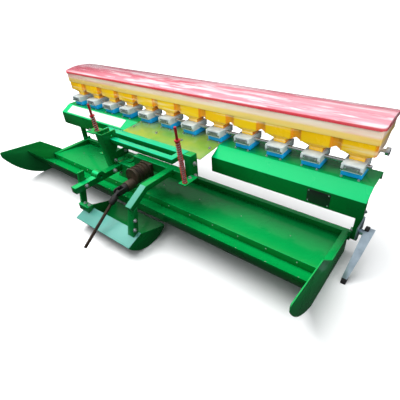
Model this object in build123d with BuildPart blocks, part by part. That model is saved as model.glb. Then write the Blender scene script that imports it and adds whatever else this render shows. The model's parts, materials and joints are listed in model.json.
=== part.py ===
from build123d import *
import os
from math import hypot, sqrt

# Twelve-row rice direct seeder: a seed box over metering units on a folded beam, carried on a levelling pan
# and a centre float. Millimetres. X runs along the seed box, -Y is the hitch side (the way it travels), Z is
# up. The origin is on the ground, on the middle plane, under the pan.

# Clearances
seat_gap = 0.3
run_gap = 0.05
move_gap = 5.0

# Rows
row_count = 12
row_pitch = 200.0
row_xs = [(i - (row_count - 1) / 2) * row_pitch for i in range(row_count)]
ridge_xs = [(a + b) / 2 for a, b in zip(row_xs, row_xs[1:])]

# Beam of folded sheet
sheet = 4.0
beam_overhang = 113.0
beam_half = row_xs[-1] + beam_overhang
cover_half = 355.0
beam_front_y = 78.0
beam_bottom_z = 297.0
beam_shoulder_z = 391.0
beam_fold_y = 160.0
flange_z = 436.0
flange_rear_y = 320.0
beam_return = 34.0
flange_lip = 40.0

# Metering units
housing_w = 100.0
base_w = housing_w
base_h = 33.0
base_front_y = 190.0
base_depth = 110.0
housing_h = 37.0
housing_front_y = 172.0
housing_depth = 140.0
face_w = 74.0
face_h = 26.0
face_t = 3.0
shaft_r = 10.0
shaft_y = 236.0
shaft_overhang = 72.0
chute_outer = 44.0
chute_wall = 3.0
chute_y = 270.0
chute_bottom_z = 311.0
outlet_r = 17.0

# Funnels and seed box
wall = 4.0
neck_w = 70.0
neck_depth = 70.0
neck_front_y = 232.0
neck_h = 20.0
funnel_h = 25.0
ridge_w = 44.0
ridge_rise = 13.0
box_front_y = 214.0
mouth_depth = 158.0
box_h = 131.0
box_rear_y = 445.0
band_h = 67.0
band_t = 5.0
band_drop = 4.0
panel_t = 8.0

# Lid
lid_skin = 4.0
lid_skirt = 3.0
lid_drop = 2.0
lid_edge_h = 13.0
lid_crown = 16.0
lid_corner_r = 25.0
hinge_pin_r = 4.0
hinge_eye_r = 8.0
hinge_drop = 14.0
hinge_back = 12.0
hinge_leaf_t = 6.0
hinge_tongue_w = 30.0
hinge_xs = [-900.0, 0.0, 900.0]

# End knob
knob_r = 19.0
knob_stem_r = 9.0
knob_len = 40.0
knob_head = 18.0
knob_y = 262.0

# End posts and pivot blocks
post_w = 32.0
post_depth = 32.0
post_foot_z = 80.0
block_h = 44.0
block_depth = 60.0
pivot_pin_r = 8.0

# Pan
pan_inset = 63.0
pan_half = beam_half - pan_inset
pan_front_y = -140.0
pan_rear_y = 190.0
pan_sheet = 3.0
rim_w = 30.0
rim_h = 116.0
rim_tube_h = 50.0
floor_rear_z = 78.0
nose_front_y = -332.0
nose_front_z = 214.0
nose_root_z = 66.0
nose_lift = 0.22
bow_lift = 0.22

# Side plates
plate_t = 6.0
plate_rear_y = 170.0
plate_peak_y = -210.0
plate_peak_z = 251.0
plate_tip_y = -522.0
plate_tip_z = 282.0
plate_tip_h = 40.0
plate_flat_y = -262.0
plate_corner_r = 12.0
plate_step_y = -50.0
plate_belly_y = 24.0
plate_belly_share = 0.4

# Hitch frame
rail_top_z = 456.0
rear_rail_y = -75.0
rear_rail_w = 50.0
rear_rail_h = 40.0
cover_lap = 6.0
rail_left_x = -440.0
front_rail_y = -160.0
front_rail_w = 40.0
front_rail_h = 30.0
return_x = 230.0
return_w = 40.0
hitch_post_x = 282.0
hitch_post_w = 53.0
hitch_post_bottom_z = 296.0
mast_x = -330.0
mast_w = 68.0
mast_t = 6.0
mast_top_z = 500.0
mast_bottom_z = 243.0
mast_top_front_y = -212.0
mast_bottom_front_y = -176.0
mast_top_rear_y = -106.0
mast_waist_y = -99.0
mast_waist_z = 406.0
mast_foot_rear_y = -136.0
mast_lug_y = -36.0
mast_lug_z = 306.0
mast_lug_h = 52.0
mast_pin_r = 10.0
mast_pin_y = -145.0
mast_pin_drop = 22.0
cross_y = -110.0
cross_depth = 50.0
cross_left_x = -130.0
cross_z = 291.0
cross_h = 60.0

bracket_right_x = -118.0
bracket_front_y = -152.0
bracket_rear_y = -70.0
bracket_z = 184.0
stay_x = -182.0
stay_w = 37.0
stay_front_y = -118.0
stay_rear_y = -11.0
stay_t = 8.0
guide_w = 80.0
guide_front_y = -222.0
guide_rear_y = -140.0
guide_t = 8.0
guide_hole_r = 17.0

# Springs
spring_x = 352.0
spring_bottom_y = -163.0
spring_bottom_z = 341.0
spring_top_y = -192.0
spring_top_z = 673.0
spring_rod_r = 7.0
spring_coil_r = 14.0
spring_wire = 9.0
spring_rod_len = 78.0
spring_ring_r = 17.0
spring_ring_h = 8.0
seat_t = 8.0
seat_w = 50.0
seat_reach = 24.0
seat_lap = 10.0

# Arms, link and bracket
arm_x = 200.0
arm_w = 45.0
left_arm_x = mast_x + mast_w + arm_w / 2
arm_wall = 4.0
left_arm_h = 38.0
left_arm_z = 243.0
left_arm_front_y = -500.0
hub_y = -318.0
hub_rise = 16.0
hub_r = 32.0
hub_bore_r = 10.5
hub_w = 58.0
link_w = 42.0
link_t = 14.0
link_slant = 42.0
link_top_y = -409.0
link_top_z = 341.0
foot_len = 96.0
foot_h = 24.0
right_arm_h = 32.0
right_arm_z = 360.0
right_arm_bend_y = -330.0
right_arm_end_y = -458.0
right_arm_end_z = 288.0
bracket_w = 50.0
bracket_t = 30.0
bracket_foot = 40.0

# Gearbox and drive shaft
gear_front_y = -245.0
gear_rear_y = -130.0
bell_z = 302.0
bell_r = 46.0
bell_rib_count = 5
bell_rib_t = 10.0
bell_rib_h = 8.0
gear_foot_w = 92.0
gear_foot_h = 84.0
input_r = 32.0
input_len = 57.0
pivot_y = -362.0
pivot_z = 262.0
yoke_hub_r = 18.0
yoke_gap = 15.0
yoke_ear_t = 9.0
yoke_ear_r = 17.0
cross_pin_r = 6.0
cross_half = 9.5
drive_droop_y = -296.0
drive_droop_z = -212.0
drive_hub_r = 19.0
drive_hub_start = 26.0
drive_hub_len = 52.0
drive_rod_r = 9.0
drive_len = 364.0

# Centre float
float_half = 240.0
float_front_y = -540.0
float_mid_y = -392.0
float_rear_y = -262.0
float_sheet = 4.0
deck_depth = 100.0
deck_front_z = 84.0
deck_rear_z = 122.0

# Parking stand
clamp_t = 8.0
clamp_w = 62.0
clamp_h = 68.0
stand_pivot_y = 138.0
stand_pivot_z = 188.0
stand_pin_r = 10.0
stand_boss_r = 15.0

leg_depth = 36.0
plug_h = 24.0
# columns: height, middle y, inner face from the clamp's inner face, width along x
leg_sections = [
    (204.0, 150.0, 29.0, 44.0),
    (104.0, 52.0, 22.0, 34.0),
    (plug_h, -22.0, 15.0, 25.0),
]
plug_drift = 16.0
cap_w = 20.0
cap_h = 9.0

# Levels and planes that follow from the sizes above
housing_z = flange_z + base_h
neck_z = housing_z + housing_h
funnel_z = neck_z + neck_h
mouth_z = funnel_z + funnel_h
rim_z = mouth_z + box_h
shaft_z = housing_z + housing_h / 2
mouth_w = row_pitch - ridge_w
box_half = row_xs[-1] + mouth_w / 2
box_outer_half = box_half + wall
band_bottom_z = rim_z - band_drop - band_h
mouth_rear_y = box_front_y + mouth_depth
lid_front_y = box_front_y - panel_t - band_t - move_gap - lid_skirt
lid_rear_y = box_rear_y + band_t + move_gap + lid_skirt
lid_half = box_outer_half + band_t + move_gap + lid_skirt
lid_seat_z = rim_z + seat_gap
lid_bottom_z = rim_z - lid_drop
lid_shoulder_z = lid_seat_z + lid_edge_h
hinge_y = lid_rear_y + hinge_back
hinge_z = lid_bottom_z - hinge_drop
rail_rear_y = rear_rail_y + rear_rail_w
hitch_post_y = rail_rear_y - hitch_post_w

os.makedirs("parts", exist_ok=True)


def sheet_outline(fold, thickness):
    """Closed outline of a bent sheet: the fold line, and the same line moved to its right, mitred."""
    normals = []
    for (y0, z0), (y1, z1) in zip(fold, fold[1:]):
        run = hypot(y1 - y0, z1 - z0)
        normals.append(((z1 - z0) / run, -(y1 - y0) / run))
    inner = []
    for i, (y, z) in enumerate(fold):
        before = normals[max(i - 1, 0)]
        after = normals[min(i, len(normals) - 1)]
        share = thickness / (1 + before[0] * after[0] + before[1] * after[1])
        inner.append((y + share * (before[0] + after[0]), z + share * (before[1] + after[1])))
    return list(fold) + inner[::-1]


# Seed box front wall: a sheet with a roof-shaped notch under each ridge, and a raised panel on each row
with BuildPart() as hopper_front_wall:
    edge = [(-box_outer_half, mouth_z)]
    for x in ridge_xs:
        edge += [(x - ridge_w / 2, mouth_z), (x, mouth_z + ridge_rise), (x + ridge_w / 2, mouth_z)]
    edge += [(box_outer_half, mouth_z), (box_outer_half, rim_z), (-box_outer_half, rim_z)]
    with BuildSketch(Plane.XZ.offset(-box_front_y)):
        Polygon(*edge, align=None)
    extrude(amount=-wall)
    for x in row_xs:
        with Locations((x, box_front_y - panel_t / 2, (mouth_z + rim_z) / 2)):
            Box(mouth_w, panel_t, box_h)
hopper_front_wall.part.label = "hopper_front_wall"
export_step(hopper_front_wall.part, "parts/hopper_front_wall.step")

# Seed box rear wall: upright at the band, then sloping in to the mouths of the funnels
rear_fold = [(box_rear_y, rim_z), (box_rear_y, band_bottom_z), (mouth_rear_y, mouth_z)]
rear_sheet = sheet_outline(rear_fold, wall)
rear_parts = [
    ("hopper_rear_wall", rear_sheet[:2] + rear_sheet[4:]),
    ("hopper_rear_slope", rear_sheet[1:5]),
]
for node, outline in rear_parts:
    with BuildPart() as rear_piece:
        with BuildSketch(Plane.YZ.offset(-box_outer_half)):
            Polygon(*outline, align=None)
        extrude(amount=2 * box_outer_half)
    rear_piece.part.label = node
    export_step(rear_piece.part, f"parts/{node}.step")

# Seed box end walls, between the front and rear walls
with BuildPart() as hopper_end_walls:
    rear_inner = rear_sheet[3:]
    end_outline = [(box_front_y + wall, rim_z), (box_front_y + wall, mouth_z)] + rear_inner
    for x in (-box_outer_half, box_half):
        with BuildSketch(Plane.YZ.offset(x)):
            Polygon(*end_outline, align=None)
        extrude(amount=wall)
hopper_end_walls.part.label = "hopper_end_walls"
export_step(hopper_end_walls.part, "parts/hopper_end_walls.step")

# Stiffening band round the top of the seed box: front, rear and end strips
with BuildPart() as hopper_band:
    band_z = band_bottom_z + band_h / 2
    front_face_y = box_front_y - panel_t
    box_depth = box_rear_y - front_face_y
    for y in (front_face_y - band_t / 2, box_rear_y + band_t / 2):
        with Locations((0, y, band_z)):
            Box(2 * box_outer_half, band_t, band_h)
    for x in (-box_outer_half - band_t / 2, box_outer_half + band_t / 2):
        with Locations((x, front_face_y + box_depth / 2, band_z)):
            Box(band_t, box_depth, band_h)
hopper_band.part.label = "hopper_band"
export_step(hopper_band.part, "parts/hopper_band.step")

# Ridges between the rows: a bent strip over each gap, from the front wall to the rear wall
with BuildPart() as hopper_ridges:
    for x in ridge_xs:
        roof = [(x - ridge_w / 2, mouth_z), (x, mouth_z + ridge_rise), (x + ridge_w / 2, mouth_z)]
        with BuildSketch(Plane.XZ.offset(-(box_front_y + wall))):
            Polygon(*sheet_outline(roof, -wall), align=None)
        extrude(amount=-(mouth_depth - 2 * wall))
hopper_ridges.part.label = "hopper_ridges"
export_step(hopper_ridges.part, "parts/hopper_ridges.step")

# Funnel walls. Each wall is a plate from the mouth to the neck, with the neck's own wall under it
neck_rear_y = neck_front_y + neck_depth
# columns: builder name, mouth y, neck y (near edge of the plate)
fore_and_aft = [
    ("funnel_fronts", box_front_y, neck_front_y),
    ("funnel_rears", mouth_rear_y - wall, neck_rear_y - wall),
]
for node, mouth_y, neck_y in fore_and_aft:
    with BuildPart() as funnel_walls:
        for x in row_xs:
            with BuildSketch(Plane.XY.offset(mouth_z)):
                with Locations((x, mouth_y + wall / 2)):
                    Rectangle(mouth_w, wall)
            with BuildSketch(Plane.XY.offset(funnel_z)):
                with Locations((x, neck_y + wall / 2)):
                    Rectangle(neck_w, wall)
            loft(ruled=True)
            with Locations((x, neck_y + wall / 2, neck_z + neck_h / 2)):
                Box(neck_w, wall, neck_h)
    funnel_walls.part.label = node
    export_step(funnel_walls.part, f"parts/{node}.step")

with BuildPart() as funnel_sides:
    mouth_inner = mouth_depth - 2 * wall
    neck_inner = neck_depth - 2 * wall
    for x in row_xs:
        for side in (-1, 1):
            mouth_x = x + side * (mouth_w - wall) / 2
            neck_x = x + side * (neck_w - wall) / 2
            with BuildSketch(Plane.XY.offset(mouth_z)):
                with Locations((mouth_x, box_front_y + mouth_depth / 2)):
                    Rectangle(wall, mouth_inner)
            with BuildSketch(Plane.XY.offset(funnel_z)):
                with Locations((neck_x, neck_front_y + neck_depth / 2)):
                    Rectangle(wall, neck_inner)
            loft(ruled=True)
            with Locations((neck_x, neck_front_y + neck_depth / 2, neck_z + neck_h / 2)):
                Box(wall, neck_inner, neck_h)
funnel_sides.part.label = "funnel_sides"
export_step(funnel_sides.part, "parts/funnel_sides.step")

# Lid: a crowned cap that sits on the seed box rim, with a skirt round the band
with BuildPart() as lid:
    lid_mid_y = (lid_front_y + lid_rear_y) / 2
    with BuildSketch(Plane.YZ.offset(-lid_half)):
        with BuildLine():
            Polyline((lid_front_y, lid_shoulder_z), (lid_front_y, lid_bottom_z),
                     (lid_rear_y, lid_bottom_z), (lid_rear_y, lid_shoulder_z))
            ThreePointArc((lid_rear_y, lid_shoulder_z), (lid_mid_y, lid_shoulder_z + lid_crown),
                          (lid_front_y, lid_shoulder_z))
        make_face()
    extrude(amount=2 * lid_half)
    fillet(lid.edges().filter_by(Axis.Z), radius=lid_corner_r)
    with Locations((0, lid_mid_y, (lid_bottom_z + lid_seat_z) / 2)):
        Box(2 * (lid_half - lid_skirt), lid_rear_y - lid_front_y - 2 * lid_skirt, lid_seat_z - lid_bottom_z,
            mode=Mode.SUBTRACT)
    hollow_front_y = box_front_y + wall + move_gap
    hollow_rear_y = box_rear_y - wall - move_gap
    with BuildSketch(Plane.YZ.offset(-box_half + move_gap)):
        with BuildLine():
            Polyline((hollow_front_y, lid_shoulder_z - lid_skin), (hollow_front_y, lid_seat_z),
                     (hollow_rear_y, lid_seat_z), (hollow_rear_y, lid_shoulder_z - lid_skin))
            ThreePointArc((hollow_rear_y, lid_shoulder_z - lid_skin),
                          (lid_mid_y, lid_shoulder_z + lid_crown - lid_skin),
                          (hollow_front_y, lid_shoulder_z - lid_skin))
        make_face()
    extrude(amount=2 * (box_half - move_gap), mode=Mode.SUBTRACT)
lid.part.label = "lid"
export_step(lid.part, "parts/lid.step")

# Hinge tongues on the rear of the lid's skirt, each with its pin
with BuildPart() as lid_tongues:
    tongue = [(lid_rear_y, lid_shoulder_z), (lid_rear_y, lid_bottom_z), (hinge_y - hinge_eye_r, hinge_z),
              (hinge_y, hinge_z - hinge_eye_r), (hinge_y + hinge_eye_r, hinge_z),
              (hinge_y + hinge_eye_r, lid_bottom_z)]
    for x in hinge_xs:
        with BuildSketch(Plane.YZ.offset(x - hinge_tongue_w / 2)):
            Polygon(*tongue, align=None)
        extrude(amount=hinge_tongue_w)
        pin_len = hinge_tongue_w + 2 * (move_gap + hinge_leaf_t)
        with BuildSketch(Plane.YZ.offset(x - pin_len / 2)):
            with Locations((hinge_y, hinge_z)):
                Circle(hinge_pin_r)
        extrude(amount=pin_len)
lid_tongues.part.label = "lid_tongues"
export_step(lid_tongues.part, "parts/lid_tongues.step")

# Hinge leaves on the rear of the band: a pair of eyes for each pin
with BuildPart() as lid_hinges:
    leaf_y = box_rear_y + band_t
    leaf_top_z = hinge_z + hinge_eye_r
    leaf = [(leaf_y, leaf_top_z), (leaf_y, hinge_z - 2 * hinge_eye_r), (hinge_y, hinge_z - hinge_eye_r),
            (hinge_y + hinge_eye_r, hinge_z), (hinge_y, leaf_top_z)]
    for x in hinge_xs:
        for side in (-1, 1):
            leaf_x = x + side * (hinge_tongue_w / 2 + move_gap + hinge_leaf_t / 2)
            with BuildSketch(Plane.YZ.offset(leaf_x - hinge_leaf_t / 2)):
                Polygon(*leaf, align=None)
                with Locations((hinge_y, hinge_z)):
                    Circle(hinge_pin_r + run_gap, mode=Mode.SUBTRACT)
            extrude(amount=hinge_leaf_t)
lid_hinges.part.label = "lid_hinges"
export_step(lid_hinges.part, "parts/lid_hinges.step")

# Metering housings, bored for the shaft that runs through all of them
with BuildPart() as meter_housings:
    for x in row_xs:
        with Locations((x, housing_front_y + housing_depth / 2, housing_z + housing_h / 2)):
            Box(housing_w, housing_depth, housing_h)
    with BuildSketch(Plane.YZ.offset(row_xs[0] - housing_w)):
        with Locations((shaft_y, shaft_z)):
            Circle(shaft_r + run_gap)
    extrude(amount=row_xs[-1] - row_xs[0] + 2 * housing_w, mode=Mode.SUBTRACT)
meter_housings.part.label = "meter_housings"
export_step(meter_housings.part, "parts/meter_housings.step")

# Front plates screwed to the housings
with BuildPart() as meter_plates:
    for x in row_xs:
        with Locations((x, housing_front_y - face_t / 2, housing_z + housing_h / 2)):
            Box(face_w, face_t, face_h)
meter_plates.part.label = "meter_plates"
export_step(meter_plates.part, "parts/meter_plates.step")

# Bases under the housings, bolted to the beam's rear flange
with BuildPart() as meter_bases:
    for x in row_xs:
        with Locations((x, base_front_y + base_depth / 2, flange_z + base_h / 2)):
            Box(base_w, base_depth, base_h)
meter_bases.part.label = "meter_bases"
export_step(meter_bases.part, "parts/meter_bases.step")

# Seed chutes under the flange, one below each base: side walls, and end walls between them
chute_top_z = flange_z - sheet
chute_h = chute_top_z - chute_bottom_z
chute_z = chute_bottom_z + chute_h / 2
chute_inner = chute_outer - 2 * chute_wall
chute_off = (chute_outer - chute_wall) / 2
with BuildPart() as chute_sides:
    for x in row_xs:
        for side in (-1, 1):
            with Locations((x + side * chute_off, chute_y, chute_z)):
                Box(chute_wall, chute_outer, chute_h)
chute_sides.part.label = "chute_sides"
export_step(chute_sides.part, "parts/chute_sides.step")

with BuildPart() as chute_ends:
    for x in row_xs:
        for side in (-1, 1):
            with Locations((x, chute_y + side * chute_off, chute_z)):
                Box(chute_inner, chute_wall, chute_h)
chute_ends.part.label = "chute_ends"
export_step(chute_ends.part, "parts/chute_ends.step")

# Metering shaft along all the rows
with BuildPart() as meter_shaft:
    shaft_half = row_xs[-1] + shaft_overhang
    with BuildSketch(Plane.YZ.offset(-shaft_half)):
        with Locations((shaft_y, shaft_z)):
            Circle(shaft_r)
    extrude(amount=2 * shaft_half)
meter_shaft.part.label = "meter_shaft"
export_step(meter_shaft.part, "parts/meter_shaft.step")

# Clamp knob on the right end wall
with BuildPart() as end_knob:
    knob_z = mouth_z + knob_r
    with BuildSketch(Plane.YZ.offset(box_outer_half)):
        with Locations((knob_y, knob_z)):
            Circle(knob_stem_r)
    extrude(amount=knob_len)
    with BuildSketch(Plane.YZ.offset(box_outer_half + knob_len - knob_head)):
        with Locations((knob_y, knob_z)):
            RegularPolygon(knob_r, 6)
    extrude(amount=knob_head)
end_knob.part.label = "end_knob"
export_step(end_knob.part, "parts/end_knob.step")

# Beam halves: front face with a bottom return, sloping top, rear flange with a lip
beam_fold = [(beam_front_y + beam_return, beam_bottom_z), (beam_front_y, beam_bottom_z),
             (beam_front_y, beam_shoulder_z), (beam_fold_y, flange_z), (flange_rear_y, flange_z),
             (flange_rear_y, flange_z - flange_lip)]
# columns: node, inner x of the sheet
beam_halves = [("beam_left", -beam_half), ("beam_right", cover_half)]
for node, x in beam_halves:
    with BuildPart() as beam:
        with BuildSketch(Plane.YZ.offset(x)):
            Polygon(*sheet_outline(beam_fold, sheet), align=None)
        extrude(amount=beam_half - cover_half)
        for row_x in row_xs:
            if x < row_x < x + beam_half - cover_half:
                with Locations((row_x, chute_y, flange_z - sheet / 2)):
                    Cylinder(outlet_r, 2 * sheet, mode=Mode.SUBTRACT)
    beam.part.label = node
    export_step(beam.part, f"parts/{node}.step")

# Centre cover: carries the middle rows and reaches forward to the hitch frame
with BuildPart() as centre_cover:
    cover_front_z = rail_top_z - rear_rail_h + cover_lap
    cover_fold = [(rail_rear_y, cover_front_z), (base_front_y, flange_z), (flange_rear_y, flange_z),
                  (flange_rear_y, flange_z - flange_lip)]
    with BuildSketch(Plane.YZ.offset(-cover_half)):
        Polygon(*sheet_outline(cover_fold, sheet), align=None)
    extrude(amount=2 * cover_half)
    for row_x in row_xs:
        if abs(row_x) < cover_half:
            with Locations((row_x, chute_y, flange_z - sheet / 2)):
                Cylinder(outlet_r, 2 * sheet, mode=Mode.SUBTRACT)
centre_cover.part.label = "centre_cover"
export_step(centre_cover.part, "parts/centre_cover.step")

# End posts under the flange, with pivot blocks that hold the pan's rear corners
with BuildPart() as end_posts:
    post_x = pan_half + rim_w / 2 + post_w / 2
    post_y = pan_rear_y + rim_w / 2
    post_top_z = flange_z - sheet
    for side in (-1, 1):
        with Locations((side * post_x, post_y, (post_foot_z + post_top_z) / 2)):
            Box(post_w, post_depth, post_top_z - post_foot_z)
end_posts.part.label = "end_posts"
export_step(end_posts.part, "parts/end_posts.step")

with BuildPart() as pivot_blocks:
    block_w = post_x - post_w / 2 - pan_half
    for side in (-1, 1):
        with Locations((side * (pan_half + block_w / 2), post_y, post_foot_z + block_h / 2)):
            Box(block_w, block_depth, block_h)
        bolt_y = post_y - block_depth / 2 + pivot_pin_r
        with Locations((side * (pan_half + block_w / 2), bolt_y, post_foot_z + block_h)):
            Cylinder(block_w / 2, 2 * pivot_pin_r)
pivot_blocks.part.label = "pivot_blocks"
export_step(pivot_blocks.part, "parts/pivot_blocks.step")

# Pan floor: a closed wedge, flat on the ground, with a top that rises to its front edge
with BuildPart() as pan_floor:
    floor_half = pan_half - rim_w
    wedge = [(pan_rear_y, 0), (pan_rear_y, floor_rear_z), (pan_front_y, rim_h), (pan_front_y, 0)]
    rise = (rim_h - floor_rear_z) / (pan_rear_y - pan_front_y)
    hollow_rear = (pan_rear_y - pan_sheet, floor_rear_z - pan_sheet)
    hollow_front = (pan_front_y + pan_sheet, rim_h - pan_sheet * (1 + rise))
    hollow = [(hollow_rear[0], pan_sheet), hollow_rear, hollow_front, (hollow_front[0], pan_sheet)]
    with BuildSketch(Plane.YZ.offset(-floor_half)):
        Polygon(*wedge, align=None)
        Polygon(*hollow, align=None, mode=Mode.SUBTRACT)
    extrude(amount=2 * floor_half)
pan_floor.part.label = "pan_floor"
export_step(pan_floor.part, "parts/pan_floor.step")

# Pan rims: a tube across the rear, level with the hollow rims at the ends
with BuildPart() as pan_rear_rim:
    with Locations((0, pan_rear_y + rim_w / 2, rim_h - rim_tube_h / 2)):
        Box(2 * pan_half, rim_w, rim_tube_h)
        Box(2 * pan_half, rim_w - 2 * pan_sheet, rim_tube_h - 2 * pan_sheet, mode=Mode.SUBTRACT)
pan_rear_rim.part.label = "pan_rear_rim"
export_step(pan_rear_rim.part, "parts/pan_rear_rim.step")

with BuildPart() as pan_end_rims:
    for side in (-1, 1):
        with Locations((side * (pan_half - rim_w / 2), (pan_front_y + pan_rear_y) / 2, rim_h / 2)):
            Box(rim_w, pan_rear_y - pan_front_y, rim_h)
            Box(rim_w - 2 * pan_sheet, pan_rear_y - pan_front_y, rim_h - 2 * pan_sheet, mode=Mode.SUBTRACT)
pan_end_rims.part.label = "pan_end_rims"
export_step(pan_end_rims.part, "parts/pan_end_rims.step")

# Pan nose and bow: two sheets that curve up ahead of the floor and meet at the front edge
nose_run = pan_front_y - nose_front_y
nose_t = 2 * pan_sheet
# columns: node, height at the floor, height at the front edge, sag as a share of the rise
nose_sheets = [
    ("pan_nose", nose_root_z, nose_front_z, nose_lift),
    ("pan_bow", 0, nose_front_z - nose_t, bow_lift),
]
for node, root_z, front_z, lift in nose_sheets:
    mid_y = pan_front_y - nose_run / 2
    mid_z = (root_z + front_z) / 2 - lift * (front_z - root_z)
    with BuildPart() as curved_sheet:
        with BuildSketch(Plane.YZ.offset(-pan_half)):
            with BuildLine():
                ThreePointArc((pan_front_y, root_z), (mid_y, mid_z), (nose_front_y, front_z))
                Line((nose_front_y, front_z), (nose_front_y, front_z + nose_t))
                ThreePointArc((nose_front_y, front_z + nose_t), (mid_y, mid_z + nose_t),
                              (pan_front_y, root_z + nose_t))
                Line((pan_front_y, root_z + nose_t), (pan_front_y, root_z))
            make_face()
        extrude(amount=2 * pan_half)
    curved_sheet.part.label = node
    export_step(curved_sheet.part, f"parts/{node}.step")

# Side plates: ski-shaped guards along the pan's ends
tip_low_z = plate_tip_z - plate_tip_h
ski_mid = ((plate_flat_y + plate_tip_y) / 2 - plate_belly_y, tip_low_z * plate_belly_share)
for node, x in (("side_plate_left", -pan_half - plate_t), ("side_plate_right", pan_half)):
    with BuildPart() as side_plate:
        with BuildSketch(Plane.YZ.offset(x)):
            with BuildLine():
                Polyline((plate_flat_y, 0), (plate_rear_y, 0), (plate_rear_y, rim_h), (plate_step_y, rim_h),
                         (plate_peak_y, plate_peak_z), (plate_tip_y, plate_tip_z), (plate_tip_y, tip_low_z))
                ThreePointArc((plate_tip_y, tip_low_z), ski_mid, (plate_flat_y, 0))
            make_face()
        extrude(amount=plate_t)
        tip_edges = side_plate.edges().filter_by(Axis.X).group_by(Axis.Y)[0]
        fillet(tip_edges, radius=plate_corner_r)
    side_plate.part.label = node
    export_step(side_plate.part, f"parts/{node}.step")

# Hitch rails
with BuildPart() as rear_rail:
    rail_mid_x = (rail_left_x + hitch_post_x) / 2
    with Locations((rail_mid_x, rear_rail_y + rear_rail_w / 2, rail_top_z - rear_rail_h / 2)):
        Box(hitch_post_x - rail_left_x, rear_rail_w, rear_rail_h)
rear_rail.part.label = "rear_rail"
export_step(rear_rail.part, "parts/rear_rail.step")

mast_right_x = mast_x + mast_w
with BuildPart() as front_rail:
    front_right_x = return_x + return_w
    front_rail_z = rail_top_z - front_rail_h / 2
    with Locations(((mast_right_x + front_right_x) / 2, front_rail_y + front_rail_w / 2, front_rail_z)):
        Box(front_right_x - mast_right_x, front_rail_w, front_rail_h)
    return_front_y = front_rail_y + front_rail_w
    with Locations((return_x + return_w / 2, (return_front_y + rear_rail_y) / 2, front_rail_z)):
        Box(return_w, rear_rail_y - return_front_y, front_rail_h)
front_rail.part.label = "front_rail"
export_step(front_rail.part, "parts/front_rail.step")

with BuildPart() as right_post:
    with Locations((hitch_post_x + hitch_post_w / 2, hitch_post_y + hitch_post_w / 2,
                    (hitch_post_bottom_z + rail_top_z) / 2)):
        Box(hitch_post_w, hitch_post_w, rail_top_z - hitch_post_bottom_z)
right_post.part.label = "right_post"
export_step(right_post.part, "parts/right_post.step")

# Left mast: a leaning channel, its web to the front, with a pin hole across its top and a lug behind
with BuildPart() as left_mast:
    front_edge = [(mast_bottom_front_y, mast_bottom_z), (mast_top_front_y, mast_top_z)]
    rear_edge = [(mast_top_rear_y, mast_top_z), (mast_waist_y, mast_waist_z),
                 (mast_foot_rear_y, mast_lug_z + mast_lug_h), (mast_foot_rear_y, mast_bottom_z)]
    with BuildSketch(Plane.YZ.offset(mast_x)):
        Polygon(*front_edge, *rear_edge, align=None)
    extrude(amount=mast_w)
    with BuildSketch(Plane.YZ.offset(mast_x + mast_t)):
        Polygon(*[(y + mast_t, z) for y, z in front_edge], *rear_edge, align=None)
    extrude(amount=mast_w - 2 * mast_t, mode=Mode.SUBTRACT)
    lug_mid_y = (mast_foot_rear_y + mast_lug_y) / 2
    with Locations((mast_right_x - mast_t / 2, lug_mid_y, mast_lug_z + mast_lug_h / 2)):
        Box(mast_t, mast_lug_y - mast_foot_rear_y, mast_lug_h)
    with BuildSketch(Plane.YZ.offset(mast_x)):
        with Locations((mast_pin_y, mast_top_z - mast_pin_drop)):
            Circle(mast_pin_r)
    extrude(amount=mast_w, mode=Mode.SUBTRACT)
left_mast.part.label = "left_mast"
export_step(left_mast.part, "parts/left_mast.step")

# Guide plate on the mast's outer flange, with a hole that the left spring passes through
with BuildPart() as guide_plate:
    guide_z = mast_top_z - guide_t / 2
    with Locations((mast_x - guide_w / 2, (guide_front_y + guide_rear_y) / 2, guide_z)):
        Box(guide_w, guide_rear_y - guide_front_y, guide_t)
    lean_here = (guide_z - spring_bottom_z) / (spring_top_z - spring_bottom_z)
    with Locations((-spring_x, spring_bottom_y + lean_here * (spring_top_y - spring_bottom_y), guide_z)):
        Cylinder(guide_hole_r, 2 * guide_t, mode=Mode.SUBTRACT)
guide_plate.part.label = "guide_plate"
export_step(guide_plate.part, "parts/guide_plate.step")

# Lower cross bar on the right post, and the block and flat bar that carry the hitch's lower left side
with BuildPart() as cross_bar:
    with Locations(((cross_left_x + hitch_post_x) / 2, cross_y + cross_depth / 2, cross_z + cross_h / 2)):
        Box(hitch_post_x - cross_left_x, cross_depth, cross_h)
cross_bar.part.label = "cross_bar"
export_step(cross_bar.part, "parts/cross_bar.step")

with BuildPart() as foot_bracket:
    with Locations(((mast_right_x + bracket_right_x) / 2, (bracket_front_y + bracket_rear_y) / 2,
                    (bracket_z + cross_z) / 2)):
        Box(bracket_right_x - mast_right_x, bracket_rear_y - bracket_front_y, cross_z - bracket_z)
foot_bracket.part.label = "foot_bracket"
export_step(foot_bracket.part, "parts/foot_bracket.step")

with BuildPart() as stay_bar:
    with Locations((stay_x, (stay_front_y + stay_rear_y) / 2, cross_z + stay_t / 2)):
        Box(stay_w, stay_rear_y - stay_front_y, stay_t)
stay_bar.part.label = "stay_bar"
export_step(stay_bar.part, "parts/stay_bar.step")

# Spring seats: a shelf on the right post and a shelf on the mast's outer flange
with BuildPart() as spring_seats:
    seat_z = spring_bottom_z - seat_t / 2
    seat_front_y = spring_bottom_y - seat_reach
    right_depth = hitch_post_y - seat_front_y
    seat_left_x = hitch_post_x + hitch_post_w - seat_lap
    seat_right_x = spring_x + seat_w / 2
    with Locations(((seat_left_x + seat_right_x) / 2, seat_front_y + right_depth / 2, seat_z)):
        Box(seat_right_x - seat_left_x, right_depth, seat_t)
    left_reach = spring_x + seat_w / 2 + mast_x
    with Locations((mast_x - left_reach / 2, spring_bottom_y, seat_z)):
        Box(left_reach, 2 * seat_reach, seat_t)
spring_seats.part.label = "spring_seats"
export_step(spring_seats.part, "parts/spring_seats.step")

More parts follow.
